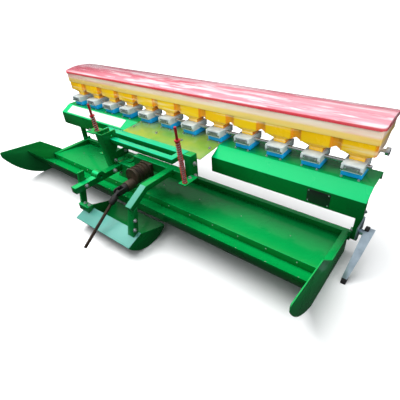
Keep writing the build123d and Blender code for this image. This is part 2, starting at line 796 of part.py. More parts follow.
# Springs: a coiled length under a collar, and a plain rod above it
spring_lean_y = spring_top_y - spring_bottom_y
spring_rise_z = spring_top_z - spring_bottom_z
spring_len = hypot(spring_lean_y, spring_rise_z)
coil_len = spring_len - spring_rod_len
for node, x in (("spring_left", -spring_x), ("spring_right", spring_x)):
    spring_dir = (0, spring_lean_y, spring_rise_z)
    foot = Plane(origin=(x, spring_bottom_y, spring_bottom_z), x_dir=(1, 0, 0), z_dir=spring_dir)
    with BuildPart(foot) as spring:
        turns = int(coil_len / spring_wire)
        pitch = coil_len / turns
        profile = [(0, 0)]
        for i in range(turns):
            profile += [(spring_coil_r - spring_wire / 3, i * pitch), (spring_coil_r, (i + 1 / 2) * pitch)]
        profile += [(spring_coil_r - spring_wire / 3, coil_len), (spring_ring_r, coil_len),
                    (spring_ring_r, coil_len + spring_ring_h), (spring_rod_r, coil_len + spring_ring_h),
                    (spring_rod_r, spring_len), (0, spring_len)]
        with BuildSketch(foot * Plane.XZ):
            Polygon(*profile, align=None)
        revolve(axis=Axis(foot.origin, foot.z_dir))
        lowest = spring.part.bounding_box().min.Z
    spring.part.position += (0, 0, spring_bottom_z - lowest)
    spring.part.label = node
    export_step(spring.part, f"parts/{node}.step")

# Left arm: a bar from the foot bracket, with a bored hub across it
with BuildPart() as left_arm:
    left_arm_mid_z = left_arm_z + left_arm_h / 2
    with Locations((left_arm_x, (left_arm_front_y + bracket_front_y) / 2, left_arm_mid_z)):
        Box(arm_w, bracket_front_y - left_arm_front_y, left_arm_h)
    hub_plane = Plane.YZ.offset(left_arm_x - hub_w / 2)
    with BuildSketch(hub_plane):
        with Locations((hub_y, left_arm_mid_z + hub_rise)):
            Circle(hub_r)
    extrude(amount=hub_w)
    with BuildSketch(hub_plane):
        with Locations((hub_y, left_arm_mid_z + hub_rise)):
            Circle(hub_bore_r)
    extrude(amount=hub_w, mode=Mode.SUBTRACT)
left_arm.part.label = "left_arm"
export_step(left_arm.part, "parts/left_arm.step")

# Left link: a flat bar beside the arm, down to a foot on the float's sloping deck
deck_rear_y = float_front_y + deck_depth
deck_slope = (deck_rear_z - deck_front_z) / deck_depth
with BuildPart() as left_link:
    link_x = left_arm_x - arm_w / 2 - link_t
    half = link_w / 2
    link_foot_y = link_top_y - link_slant
    foot_front_y = deck_rear_y - link_w
    with BuildSketch(Plane.YZ.offset(link_x)):
        Polygon((link_top_y - half, link_top_z), (link_top_y + half, link_top_z),
                (link_foot_y + half, deck_rear_z), (link_foot_y - half, deck_rear_z), align=None)
    extrude(amount=link_t)
    with BuildSketch(Plane.YZ.offset(link_x)):
        Polygon((deck_rear_y, deck_rear_z), (deck_rear_y, deck_rear_z + foot_h),
                (foot_front_y, deck_rear_z + foot_h), (foot_front_y, deck_rear_z - deck_slope * link_w),
                align=None)
    extrude(amount=foot_len)
left_link.part.label = "left_link"
export_step(left_link.part, "parts/left_link.step")

# Right arm: a cranked rectangular tube, open at its front end
arm_fold = [(cross_y, right_arm_z), (right_arm_bend_y, right_arm_z), (right_arm_end_y, right_arm_end_z)]
arm_outline = sheet_outline(arm_fold, -right_arm_h)
with BuildPart() as right_arm:
    with BuildSketch(Plane.YZ.offset(arm_x - arm_w / 2)):
        Polygon(*arm_outline, align=None)
    extrude(amount=arm_w)
    end_dir = (0, right_arm_end_y - right_arm_bend_y, right_arm_end_z - right_arm_z)
    end_run = hypot(end_dir[1], end_dir[2])
    end_mid = Plane(origin=(arm_x, right_arm_end_y, right_arm_end_z), x_dir=(1, 0, 0), z_dir=end_dir)
    with BuildSketch(end_mid):
        with Locations((0, -right_arm_h / 2)):
            Rectangle(arm_w - 2 * arm_wall, right_arm_h - 2 * arm_wall)
    extrude(amount=-end_run / 2, mode=Mode.SUBTRACT)
right_arm.part.label = "right_arm"
export_step(right_arm.part, "parts/right_arm.step")

# Right bracket: from the arm's underside down to the float's deck
with BuildPart() as right_bracket:
    under_end_y, under_end_z = arm_outline[len(arm_fold)]
    under_bend_y, under_bend_z = arm_outline[len(arm_fold) + 1]
    slope = (under_end_z - under_bend_z) / (under_end_y - under_bend_y)
    with BuildSketch(Plane.YZ.offset(arm_x - bracket_w / 2)):
        Polygon((under_end_y, under_end_z), (under_end_y + bracket_t, under_end_z + slope * bracket_t),
                (deck_rear_y, deck_rear_z),
                (deck_rear_y - bracket_foot, deck_rear_z - deck_slope * bracket_foot), align=None)
    extrude(amount=bracket_w)
right_bracket.part.label = "right_bracket"
export_step(right_bracket.part, "parts/right_bracket.step")

# Gearbox: a ribbed cast bell on a foot against the cross bar, with an input neck
with BuildPart() as gearbox:
    bell_len = gear_rear_y - gear_front_y
    with BuildSketch(Plane.XZ.offset(-gear_rear_y)):
        with Locations((0, bell_z)):
            Circle(bell_r)
    extrude(amount=bell_len)
    rib_step = (bell_len - bell_rib_t) / (bell_rib_count - 1)
    for i in range(bell_rib_count):
        with BuildSketch(Plane.XZ.offset(-gear_rear_y + i * rib_step)):
            with Locations((0, bell_z)):
                Circle(bell_r + bell_rib_h)
        extrude(amount=bell_rib_t)
    with Locations((0, (gear_rear_y + cross_y) / 2, bell_z)):
        Box(gear_foot_w, cross_y - gear_rear_y, gear_foot_h)
    with BuildSketch(Plane.XZ.offset(-gear_front_y)):
        with Locations((0, pivot_z)):
            Circle(input_r)
    extrude(amount=input_len)
gearbox.part.label = "gearbox"
export_step(gearbox.part, "parts/gearbox.step")

# Fixed yoke on the gearbox's input: a hub and two ears bored for the cross pin
with BuildPart() as fixed_yoke:
    input_face_y = gear_front_y - input_len
    ear_y = pivot_y + yoke_ear_r + cross_half + move_gap
    with BuildSketch(Plane.XZ.offset(-input_face_y)):
        with Locations((0, pivot_z)):
            Circle(yoke_hub_r + yoke_ear_t)
    extrude(amount=input_face_y - ear_y)
    for side in (-1, 1):
        ear_x = side * (yoke_gap + yoke_ear_t / 2)
        with Locations((ear_x, (pivot_y + ear_y) / 2, pivot_z)):
            Box(yoke_ear_t, ear_y - pivot_y, 2 * yoke_ear_r)
        with BuildSketch(Plane.YZ.offset(ear_x - yoke_ear_t / 2)):
            with Locations((pivot_y, pivot_z)):
                Circle(yoke_ear_r)
        extrude(amount=yoke_ear_t)
    with BuildSketch(Plane.YZ.offset(-yoke_gap - yoke_ear_t)):
        with Locations((pivot_y, pivot_z)):
            Circle(cross_pin_r + run_gap)
    extrude(amount=2 * (yoke_gap + yoke_ear_t), mode=Mode.SUBTRACT)
fixed_yoke.part.label = "fixed_yoke"
export_step(fixed_yoke.part, "parts/fixed_yoke.step")

# Swinging yoke: the cross with its pin, and the hub that takes the drive shaft
droop_run = hypot(drive_droop_y, drive_droop_z)
drive_plane = Plane(origin=(0, pivot_y, pivot_z), x_dir=(1, 0, 0), z_dir=(0, drive_droop_y, drive_droop_z))
with BuildPart() as swing_yoke:
    with BuildSketch(Plane.YZ.offset(-yoke_gap - yoke_ear_t)):
        with Locations((pivot_y, pivot_z)):
            Circle(cross_pin_r)
    extrude(amount=2 * (yoke_gap + yoke_ear_t))
    with BuildSketch(drive_plane.offset(-cross_half)):
        Rectangle(2 * cross_half, 2 * cross_half)
    extrude(amount=cross_half + drive_hub_start)
    with BuildSketch(drive_plane.offset(drive_hub_start)):
        Circle(drive_hub_r)
    extrude(amount=drive_hub_len)
swing_yoke.part.label = "swing_yoke"
export_step(swing_yoke.part, "parts/swing_yoke.step")

with BuildPart() as drive_shaft:
    rod_start = drive_hub_start + drive_hub_len
    with BuildSketch(drive_plane.offset(rod_start)):
        Circle(drive_rod_r)
    extrude(amount=drive_len - rod_start)
drive_shaft.part.label = "drive_shaft"
export_step(drive_shaft.part, "parts/drive_shaft.step")

# Centre float: a sheet bent to an arc, closed at both ends, with a deck over its front part
hull_top_z = deck_front_z - float_sheet
float_reach = float_mid_y - float_front_y
hull_r = (float_reach ** 2 + hull_top_z ** 2) / (2 * hull_top_z)


def hull_z(y, radius):
    """Height of the float's arc of this radius at y."""
    return hull_r - sqrt(radius ** 2 - (y - float_mid_y) ** 2)


inner_r = hull_r - float_sheet
inner_front_y = float_mid_y - sqrt(inner_r ** 2 - (hull_r - hull_top_z) ** 2)
with BuildPart() as float_shell:
    with BuildSketch(Plane.YZ.offset(-float_half)):
        with BuildLine():
            ThreePointArc((float_front_y, hull_top_z), (float_mid_y, 0),
                          (float_rear_y, hull_z(float_rear_y, hull_r)))
            Line((float_rear_y, hull_z(float_rear_y, hull_r)), (float_rear_y, hull_z(float_rear_y, inner_r)))
            ThreePointArc((float_rear_y, hull_z(float_rear_y, inner_r)), (float_mid_y, float_sheet),
                          (inner_front_y, hull_top_z))
            Line((inner_front_y, hull_top_z), (float_front_y, hull_top_z))
        make_face()
    extrude(amount=2 * float_half)
float_shell.part.label = "float_shell"
export_step(float_shell.part, "parts/float_shell.step")

with BuildPart() as float_ends:
    for x in (-float_half - float_sheet, float_half):
        with BuildSketch(Plane.YZ.offset(x)):
            with BuildLine():
                ThreePointArc((float_front_y, hull_top_z), (float_mid_y, 0),
                              (float_rear_y, hull_z(float_rear_y, hull_r)))
                Polyline((float_rear_y, hull_z(float_rear_y, hull_r)),
                         (deck_rear_y, deck_rear_z - float_sheet), (float_front_y, hull_top_z))
            make_face()
        extrude(amount=float_sheet)
float_ends.part.label = "float_ends"
export_step(float_ends.part, "parts/float_ends.step")

with BuildPart() as float_deck:
    with BuildSketch(Plane.YZ.offset(-float_half - float_sheet)):
        Polygon((float_front_y, deck_front_z), (deck_rear_y, deck_rear_z),
                (deck_rear_y, deck_rear_z - float_sheet), (float_front_y, hull_top_z), align=None)
    extrude(amount=2 * (float_half + float_sheet))
float_deck.part.label = "float_deck"
export_step(float_deck.part, "parts/float_deck.step")

# Parking stand: a clamp plate on the right end post, and a leg that turns on a pin in it
clamp_x = post_x + post_w / 2
with BuildPart() as stand_clamp:
    clamp_front_y = stand_pivot_y - clamp_w / 2
    clamp_rear_y = post_y + post_depth / 2
    with Locations((clamp_x + clamp_t / 2, (clamp_front_y + clamp_rear_y) / 2, stand_pivot_z)):
        Box(clamp_t, clamp_rear_y - clamp_front_y, clamp_h)
    with BuildSketch(Plane.YZ.offset(clamp_x)):
        with Locations((stand_pivot_y, stand_pivot_z)):
            Circle(stand_pin_r + run_gap)
    extrude(amount=clamp_t, mode=Mode.SUBTRACT)
stand_clamp.part.label = "stand_clamp"
export_step(stand_clamp.part, "parts/stand_clamp.step")

with BuildPart() as stand_leg:
    for upper, lower in zip(leg_sections, leg_sections[1:]):
        for z, y, x, width in (upper, lower):
            with BuildSketch(Plane.XY.offset(z)):
                with Locations((clamp_x + x + width / 2, y)):
                    Rectangle(width, leg_depth)
        loft(ruled=True)
    boss_start = clamp_x + clamp_t + move_gap
    with BuildSketch(Plane.YZ.offset(boss_start)):
        with Locations((stand_pivot_y, stand_pivot_z)):
            Circle(stand_boss_r)
    extrude(amount=leg_sections[0][2] + clamp_x + leg_sections[0][3] / 2 - boss_start)
    with BuildSketch(Plane.YZ.offset(clamp_x)):
        with Locations((stand_pivot_y, stand_pivot_z)):
            Circle(stand_pin_r)
    extrude(amount=boss_start - clamp_x)
stand_leg.part.label = "stand_leg"
export_step(stand_leg.part, "parts/stand_leg.step")

with BuildPart() as stand_plugs:
    plug_z, plug_y, plug_x, plug_w = leg_sections[-1]
    for z, y in ((plug_z, plug_y), (0, plug_y - plug_drift)):
        with BuildSketch(Plane.XY.offset(z)):
            with Locations((clamp_x + plug_x + plug_w / 2, y)):
                Rectangle(plug_w, leg_depth)
    loft(ruled=True)
    top_z, top_y, top_x, top_w = leg_sections[0]
    with Locations((clamp_x + top_x + cap_w / 2, top_y, top_z + cap_h / 2)):
        Box(cap_w, leg_depth, cap_h)
stand_plugs.part.label = "stand_plugs"
export_step(stand_plugs.part, "parts/stand_plugs.step")
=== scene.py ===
import json
from math import cos, pi, radians, sin

import bmesh
import bpy
from mathutils import Matrix, Vector
from mathutils.bvhtree import BVHTree

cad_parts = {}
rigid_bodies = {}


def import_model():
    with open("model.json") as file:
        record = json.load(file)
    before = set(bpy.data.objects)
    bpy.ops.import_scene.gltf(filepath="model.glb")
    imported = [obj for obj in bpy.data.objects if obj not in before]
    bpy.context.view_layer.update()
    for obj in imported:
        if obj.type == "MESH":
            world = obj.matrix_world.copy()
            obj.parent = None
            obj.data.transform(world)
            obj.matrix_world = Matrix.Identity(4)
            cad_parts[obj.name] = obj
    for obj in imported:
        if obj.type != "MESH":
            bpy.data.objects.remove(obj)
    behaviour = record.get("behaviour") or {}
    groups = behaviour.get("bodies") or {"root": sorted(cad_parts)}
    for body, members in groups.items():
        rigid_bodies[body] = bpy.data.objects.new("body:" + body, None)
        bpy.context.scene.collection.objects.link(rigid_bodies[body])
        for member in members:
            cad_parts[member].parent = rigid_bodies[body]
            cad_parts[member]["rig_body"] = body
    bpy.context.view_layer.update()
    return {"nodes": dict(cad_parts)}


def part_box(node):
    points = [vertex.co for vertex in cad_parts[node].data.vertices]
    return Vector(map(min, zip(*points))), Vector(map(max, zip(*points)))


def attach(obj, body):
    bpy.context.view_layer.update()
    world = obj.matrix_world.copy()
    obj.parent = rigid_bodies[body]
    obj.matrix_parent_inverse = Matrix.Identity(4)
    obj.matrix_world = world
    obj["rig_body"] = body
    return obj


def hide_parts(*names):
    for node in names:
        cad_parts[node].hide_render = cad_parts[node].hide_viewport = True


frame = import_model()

# The place it stands in: a pale floor and backdrop under soft daylight and two large studio panels.
# A fill light falls on the seed box, its lid and the metering row alone, to brighten their fronts.
# The camera stands off the machine's right end, at chest height.
camera_data = bpy.data.cameras.new("camera")
camera_data.sensor_width = 36.0
camera_data.lens = 29.466
camera = bpy.data.objects.new("camera", camera_data)
bpy.context.scene.collection.objects.link(camera)
bpy.context.scene.camera = camera
camera_place = (1.4123, -1.2688, 1.2798)
camera_yaw, camera_pitch, camera_roll = radians(40.99), radians(34.79), radians(-4.47)
level = Vector((cos(camera_yaw), sin(camera_yaw), 0.0))
outward = Vector((-sin(camera_yaw), cos(camera_yaw), 0.0))
ahead = cos(camera_pitch) * outward - sin(camera_pitch) * Vector((0, 0, 1))
plumb = level.cross(ahead)
camera_right = cos(camera_roll) * level + sin(camera_roll) * plumb
camera_up = cos(camera_roll) * plumb - sin(camera_roll) * level
camera_turn = Matrix((camera_right, camera_up, -ahead)).transposed().to_4x4()
camera.matrix_world = Matrix.Translation(camera_place) @ camera_turn

bpy.context.scene.view_settings.view_transform = "Standard"
world = bpy.data.worlds.new("studio")
bpy.context.scene.world = world
world.use_nodes = True
world_nodes, world_links = world.node_tree.nodes, world.node_tree.links
sky_where = world_nodes.new("ShaderNodeTexCoord")
sky_split = world_nodes.new("ShaderNodeSeparateXYZ")
sky_run = world_nodes.new("ShaderNodeValToRGB")
sky_stops = sky_run.color_ramp.elements
sky_white, sky_foot = (0.95, 0.98, 1.0), (0.03, 0.035, 0.035)
sky_stops[0].color, sky_stops[1].color = (*sky_foot, 1), (*sky_white, 1)
# columns: height in the sky from 0 at the foot to 1 overhead, share of white
for place, shade in ((0.49, 0.04), (0.60, 0.14), (0.80, 0.62)):
    sky_stops.new(place).color = (*(shade * c for c in sky_white), 1)
sky_half = world_nodes.new("ShaderNodeMapRange")
sky_half.inputs["From Min"].default_value = -1.0
world_links.new(sky_where.outputs["Generated"], sky_split.inputs["Vector"])
world_links.new(sky_split.outputs["Z"], sky_half.inputs["Value"])
world_links.new(sky_half.outputs["Result"], sky_run.inputs["Fac"])
world_links.new(sky_run.outputs["Color"], world_nodes["Background"].inputs["Color"])
world_nodes["Background"].inputs["Strength"].default_value = 1.0
# columns: name, way the light goes, strength
daylights = [
    ("daylight", (0.405, -0.112, -0.908), 3.2),
    ("seed_box_fill", (-0.64, 0.71, -0.30), 2.7),
]
daylight_spread = radians(60)
for name, way, strength in daylights:
    light = bpy.data.lights.new(name, "SUN")
    light.energy, light.angle = strength, daylight_spread
    daylight = bpy.data.objects.new(name, light)
    daylight.rotation_euler = Vector(way).to_track_quat("-Z", "Y").to_euler()
    daylight.visible_glossy = False
    bpy.context.scene.collection.objects.link(daylight)
box_front = bpy.data.collections.new("box_front")
bpy.data.objects["seed_box_fill"].light_linking.receiver_collection = box_front
# columns: name, place, point it faces, width, depth, power
panels = [
    ("panel_over", (-1.6, -0.35, 2.9), (0.0, 0.0, 0.4), 3.2, 1.3, 50.0),
    ("panel_front", (2.0, -3.4, 2.4), (0.4, 0.2, 0.6), 2.4, 1.2, 3.0),
]
for name, place, aim, width, depth, power in panels:
    light = bpy.data.lights.new(name, "AREA")
    light.shape = "RECTANGLE"
    light.size, light.size_y, light.energy = width, depth, power
    panel = bpy.data.objects.new(name, light)
    bpy.context.scene.collection.objects.link(panel)
    facing = (Vector(aim) - Vector(place)).to_track_quat("-Z", "Y")
    panel.matrix_world = Matrix.Translation(place) @ facing.to_matrix().to_4x4()
    panel.visible_camera = False
    panel.visible_glossy = False


def node_group(name, inputs, outputs):
    """An empty shader group with the sockets named, and its two end nodes."""
    group = bpy.data.node_groups.new(name, "ShaderNodeTree")
    for label, kind, value in inputs:
        socket = group.interface.new_socket(label, in_out="INPUT", socket_type=kind)
        socket.default_value = value
    for label, kind in outputs:
        group.interface.new_socket(label, in_out="OUTPUT", socket_type=kind)
    ends = group.nodes.new("NodeGroupInput"), group.nodes.new("NodeGroupOutput")
    return group, *ends


def placed(material, group, **values):
    """A shader group placed in a material with its own values."""
    node = material.node_tree.nodes.new("ShaderNodeGroup")
    node.node_tree = group
    for label, value in values.items():
        node.inputs[label].default_value = value
    return node


def math_node(nodes, operation, first=None, second=None, third=None):
    """A Math node with the given operation and fixed operands."""
    node = nodes.new("ShaderNodeMath")
    node.operation = operation
    for socket, value in zip(node.inputs, (first, second, third)):
        if value is not None:
            socket.default_value = value
    return node


# places of the colour sockets on a Mix node
mix_under, mix_top, mix_result = 6, 7, 2


def mix_node(nodes, over=None):
    """A colour mix, with the colour that goes on top."""
    node = nodes.new("ShaderNodeMix")
    node.data_type = "RGBA"
    if over:
        node.inputs[mix_top].default_value = (*over, 1)
    return node


def mottle_group():
    """Two colours in soft patches, as paint and moulded plastic show after use."""
    group, into, out = node_group(
        "mottle",
        [("Deep", "NodeSocketColor", (0, 0, 0, 1)), ("Pale", "NodeSocketColor", (1, 1, 1, 1)),
         ("Scale", "NodeSocketFloat", 6.0), ("Spread", "NodeSocketFloat", 0.2),
         ("Stretch", "NodeSocketVector", (1, 1, 1))],
        [("Color", "NodeSocketColor"), ("Value", "NodeSocketFloat")])
    nodes, links = group.nodes, group.links
    where = nodes.new("ShaderNodeTexCoord")
    stretch = nodes.new("ShaderNodeMapping")
    noise = nodes.new("ShaderNodeTexNoise")
    noise.inputs["Detail"].default_value = 5.0
    low = math_node(nodes, "SUBTRACT", 0.5)
    high = math_node(nodes, "ADD", 0.5)
    share = nodes.new("ShaderNodeMapRange")
    mix = mix_node(nodes)
    links.new(where.outputs["Object"], stretch.inputs["Vector"])
    links.new(into.outputs["Stretch"], stretch.inputs["Scale"])
    links.new(stretch.outputs["Vector"], noise.inputs["Vector"])
    links.new(into.outputs["Scale"], noise.inputs["Scale"])
    links.new(into.outputs["Spread"], low.inputs[1])
    links.new(into.outputs["Spread"], high.inputs[1])
    links.new(noise.outputs["Fac"], share.inputs["Value"])
    links.new(low.outputs[0], share.inputs["From Min"])
    links.new(high.outputs[0], share.inputs["From Max"])
    links.new(share.outputs["Result"], mix.inputs["Factor"])
    links.new(into.outputs["Deep"], mix.inputs[mix_under])
    links.new(into.outputs["Pale"], mix.inputs[mix_top])
    links.new(mix.outputs[mix_result], out.inputs["Color"])
    links.new(share.outputs["Result"], out.inputs["Value"])
    return group


def grain_group():
    """Fine unevenness of a coated, cast or moulded skin, as a normal."""
    group, into, out = node_group(
        "grain", [("Scale", "NodeSocketFloat", 300.0), ("Depth", "NodeSocketFloat", 0.1)],
        [("Normal", "NodeSocketVector")])
    nodes, links = group.nodes, group.links
    where = nodes.new("ShaderNodeTexCoord")
    noise = nodes.new("ShaderNodeTexNoise")
    noise.inputs["Detail"].default_value = 3.0
    bump = nodes.new("ShaderNodeBump")
    bump.inputs["Distance"].default_value = 0.002
    links.new(where.outputs["Object"], noise.inputs["Vector"])
    links.new(into.outputs["Scale"], noise.inputs["Scale"])
    links.new(into.outputs["Depth"], bump.inputs["Strength"])
    links.new(noise.outputs["Fac"], bump.inputs["Height"])
    links.new(bump.outputs["Normal"], out.inputs["Normal"])
    return group


def dust_group():
    """Settled dust: a mask that is strongest on faces that look up, broken into patches."""
    group, into, out = node_group(
        "dust", [("Scale", "NodeSocketFloat", 9.0), ("Amount", "NodeSocketFloat", 0.3)],
        [("Mask", "NodeSocketFloat")])
    nodes, links = group.nodes, group.links
    where = nodes.new("ShaderNodeTexCoord")
    noise = nodes.new("ShaderNodeTexNoise")
    noise.inputs["Detail"].default_value = 6.0
    patches = nodes.new("ShaderNodeMapRange")
    patches.inputs["From Min"].default_value = 0.42
    patches.inputs["From Max"].default_value = 0.72
    shape = nodes.new("ShaderNodeNewGeometry")
    split = nodes.new("ShaderNodeSeparateXYZ")
    least_dust = 0.12
    upward = math_node(nodes, "MAXIMUM", None, least_dust)
    both = math_node(nodes, "MULTIPLY")
    scaled = math_node(nodes, "MULTIPLY")
    links.new(where.outputs["Object"], noise.inputs["Vector"])
    links.new(into.outputs["Scale"], noise.inputs["Scale"])
    links.new(noise.outputs["Fac"], patches.inputs["Value"])
    links.new(shape.outputs["Normal"], split.inputs["Vector"])
    links.new(split.outputs["Z"], upward.inputs[0])
    links.new(patches.outputs["Result"], both.inputs[0])
    links.new(upward.outputs[0], both.inputs[1])
    links.new(both.outputs[0], scaled.inputs[0])
    links.new(into.outputs["Amount"], scaled.inputs[1])
    links.new(scaled.outputs[0], out.inputs["Mask"])
    return group


mottle, grain, dust = mottle_group(), grain_group(), dust_group()


def finish_of(name, deep, pale, patch, spread, rough, skin, depth, dusting=0.0, dust_colour=(0.5, 0.5, 0.46),
              metallic=0.0, coat=0.0, stretch=(1, 1, 1), sheen=0.5, glow=0.0):
    """A material from two close colours in patches, a skin texture and a share of dust."""
    coat_rough, rough_swing = 0.06, 0.12
    material = bpy.data.materials.new(name)
    material.use_nodes = True
    nodes, links = material.node_tree.nodes, material.node_tree.links
    shader = nodes["Principled BSDF"]
    shader.inputs["Metallic"].default_value = metallic
    shader.inputs["Specular IOR Level"].default_value = sheen
    shader.inputs["Coat Weight"].default_value = coat
    shader.inputs["Coat Roughness"].default_value = coat_rough
    patches = placed(material, mottle, Deep=(*deep, 1), Pale=(*pale, 1), Scale=patch, Spread=spread,
                     Stretch=stretch)
    settled = placed(material, dust, Amount=dusting)
    over = mix_node(nodes, dust_colour)
    links.new(settled.outputs["Mask"], over.inputs["Factor"])
    links.new(patches.outputs["Color"], over.inputs[mix_under])
    links.new(over.outputs[mix_result], shader.inputs["Base Color"])
    if glow:
        shader.inputs["Emission Strength"].default_value = glow
        links.new(over.outputs[mix_result], shader.inputs["Emission Color"])
    dull = math_node(nodes, "MULTIPLY_ADD", None, rough_swing, rough)
    links.new(patches.outputs["Value"], dull.inputs[0])
    links.new(dull.outputs[0], shader.inputs["Roughness"])
    texture = placed(material, grain, Scale=skin, Depth=depth)
    links.new(texture.outputs["Normal"], shader.inputs["Normal"])
    return material


def surrounding(name, shape, material):
    """A finished bmesh as part of the surroundings, which neither lights nor mirrors in the machine."""
    data = bpy.data.meshes.new(name)
    shape.to_mesh(data)
    shape.free()
    data.materials.append(material)
    thing = bpy.data.objects.new(name, data)
    bpy.context.scene.collection.objects.link(thing)
    thing.visible_diffuse = False
    thing.visible_glossy = False
    return thing


floor_reach, floor_drop, backdrop_radius = 400.0, 0.0006, 70.0
floor_shape = bmesh.new()
bmesh.ops.create_grid(floor_shape, x_segments=1, y_segments=1, size=floor_reach)
bmesh.ops.translate(floor_shape, vec=(0, 0, -floor_drop), verts=floor_shape.verts)
pale_floor = finish_of("pale_floor", (0.90, 0.90, 0.90), (0.94, 0.94, 0.94), patch=0.8, spread=0.3, rough=0.8,
                       skin=60.0, depth=0.05)
floor = surrounding("floor", floor_shape, pale_floor)
backdrop_shape = bmesh.new()
bmesh.ops.create_uvsphere(backdrop_shape, u_segments=48, v_segments=24, radius=backdrop_radius)
pale_backdrop = finish_of("pale_backdrop", (0.93, 0.94, 0.95), (0.96, 0.97, 0.98), patch=0.01, spread=0.3,
                          rough=0.9, skin=1.0, depth=0.0, glow=1.0)
backdrop = surrounding("backdrop", backdrop_shape, pale_backdrop)
backdrop.visible_shadow = False


# Levelling pan: a shallow closed sheet-steel tray that slides on the mud and smooths it ahead of the seed.
# Folded and welded from thin plate, with tube rims at the rear and ends, and sprayed gloss green.
# The two side plates have a paler green, painted light for their weakly lit sideways faces.
def facing_group():
    """A mask that is full on faces that look one way, between two cosines."""
    group, into, out = node_group(
        "facing", [("Way", "NodeSocketVector", (0, 0, 1)), ("Low", "NodeSocketFloat", 0.0),
                   ("High", "NodeSocketFloat", 1.0)],
        [("Mask", "NodeSocketFloat")])
    nodes, links = group.nodes, group.links
    where = nodes.new("ShaderNodeTexCoord")
    along = nodes.new("ShaderNodeVectorMath")
    along.operation = "DOT_PRODUCT"
    run = nodes.new("ShaderNodeMapRange")
    run.interpolation_type = "SMOOTHSTEP"
    links.new(where.outputs["Normal"], along.inputs[0])
    links.new(into.outputs["Way"], along.inputs[1])
    links.new(into.outputs["Low"], run.inputs["From Min"])
    links.new(into.outputs["High"], run.inputs["From Max"])
    links.new(along.outputs["Value"], run.inputs["Value"])
    links.new(run.outputs["Result"], out.inputs["Mask"])
    return group


facing_way = facing_group()


def tint(material, mask, colour, share=1.0):
    """Lays one more colour over a material's base colour where the mask is full."""
    nodes, links = material.node_tree.nodes, material.node_tree.links
    base = nodes["Principled BSDF"].inputs["Base Color"]
    under = base.links[0].from_socket
    amount = math_node(nodes, "MULTIPLY", None, share)
    mix = mix_node(nodes, colour)
    links.new(mask, amount.inputs[0])
    links.new(amount.outputs[0], mix.inputs["Factor"])
    links.new(under, mix.inputs[mix_under])
    links.new(mix.outputs[mix_result], base)


def green_finish(name, level_painted_light, slope_painted_light, deep=(0.0004, 0.150, 0.022), pale=(0.0008, 0.255, 0.047)):
    """Gloss green with tints of painted light and shade: one on faces that look up and one on those that lean
    to the front, where the sky's light and reflection fall.
    """
    paint = finish_of(name, deep, pale, patch=2.6, spread=0.25, rough=0.20, skin=900.0, depth=0.03,
                      dusting=0.05, dust_colour=(0.01, 0.25, 0.08), coat=0.25, sheen=0.2)
    # Painted light: each tint below stands in for the sky's light and reflection on faces turned that way.
    level_light_mask = placed(paint, facing_way, Way=(0, 0, 1), Low=0.25, High=0.85)
    tint(paint, level_light_mask.outputs["Mask"], level_painted_light, share=0.65)
    slope_light_mask = placed(paint, facing_way, Way=(0, -0.48, 0.877), Low=0.93, High=0.985)
    tint(paint, slope_light_mask.outputs["Mask"], slope_painted_light, share=0.8)
    return paint


def piece_from(shape, name, body, material, stands_for=()):
    """A finished bmesh as a piece of the object, smooth except along its sharp edges."""
    smooth_below = radians(32)
    data = bpy.data.meshes.new(name)
    shape.to_mesh(data)
    shape.free()
    data.polygons.foreach_set("use_smooth", [True] * len(data.polygons))
    data.set_sharp_from_angle(angle=smooth_below)
    data.materials.clear()
    data.materials.append(material)
    piece = bpy.data.objects.new(name, data)
    bpy.context.scene.collection.objects.link(piece)
    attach(piece, body)
    if stands_for:
        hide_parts(*stands_for)
    return piece


def dressed(suffix, material, edges, segments=2):
    """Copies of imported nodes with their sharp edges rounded, which stand in the nodes' places.

    edges gives each node and the width of its rounding.
    """
    merge_within, flat_within, sharp_above = 1e-6, radians(1.0), radians(25.0)
    pieces = []
    for node, edge in edges.items():
        source = frame["nodes"][node]
        shape = bmesh.new()
        shape.from_mesh(source.data)
        bmesh.ops.remove_doubles(shape, verts=shape.verts, dist=merge_within)
        bmesh.ops.dissolve_limit(shape, angle_limit=flat_within, verts=shape.verts, edges=shape.edges)
        sharp = [e for e in shape.edges if len(e.link_faces) == 2 and e.calc_face_angle() > sharp_above]
        bmesh.ops.bevel(shape, geom=sharp, offset=edge, offset_type="OFFSET", affect="EDGES",
                        segments=segments, profile=0.5, clamp_overlap=True, material=-1)
        pieces.append(piece_from(shape, f"{node}_{suffix}", source["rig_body"], material, (node,)))
    return pieces


# Painted highlight and reflection: a paler green for faces that look up, and a paler one still for faces that
# lean to the front.
level_highlight_green = (0.0006, 0.36, 0.075)
green_paint = green_finish("gloss_green", level_highlight_green, (0.0008, 0.66, 0.21))
dressed("painted", green_paint,
        {"pan_floor": 0.003, "pan_rear_rim": 0.004, "pan_end_rims": 0.004, "pan_nose": 0.002,
         "pan_bow": 0.002})
# Painted light: a paler copy of the green for the side plates' sideways faces, which the lamps light weakly.
side_paint = green_finish("side_plate_light_green", level_highlight_green, level_highlight_green, deep=(0.004, 0.25, 0.046),
                          pale=(0.020, 0.40, 0.10))
dressed("painted", side_paint, {"side_plate_left": 0.0015, "side_plate_right": 0.0015})


# Centre float: a boat-shaped sheet-steel sled under the hitch, with a sloping deck that carries its arms.
# Rolled shell, flat ends and a plain deck, welded all round. The deck is painted a pale mint, a painted
# reflection of the sky on its leaning face.
# Painted shade: the float's tops and sloping faces take a darker green, as it stands in shade.
painted_shade_green = (0.0005, 0.20, 0.035)
float_paint = green_finish("float_green", painted_shade_green, painted_shade_green)
dressed("painted", float_paint, {"float_shell": 0.001, "float_ends": 0.001})
# Painted reflection: the deck's pale mint stands for the sky mirrored in its leaning face.
deck_reflection_paint = finish_of("deck_mint_reflection", (0.085, 0.33, 0.27), (0.14, 0.42, 0.36), patch=3.0, spread=0.25,
                       rough=0.16, skin=900.0, depth=0.02, coat=0.5, dusting=0.1,
                       dust_colour=(0.20, 0.40, 0.34))
dressed("painted", deck_reflection_paint, {"float_deck": 0.001})


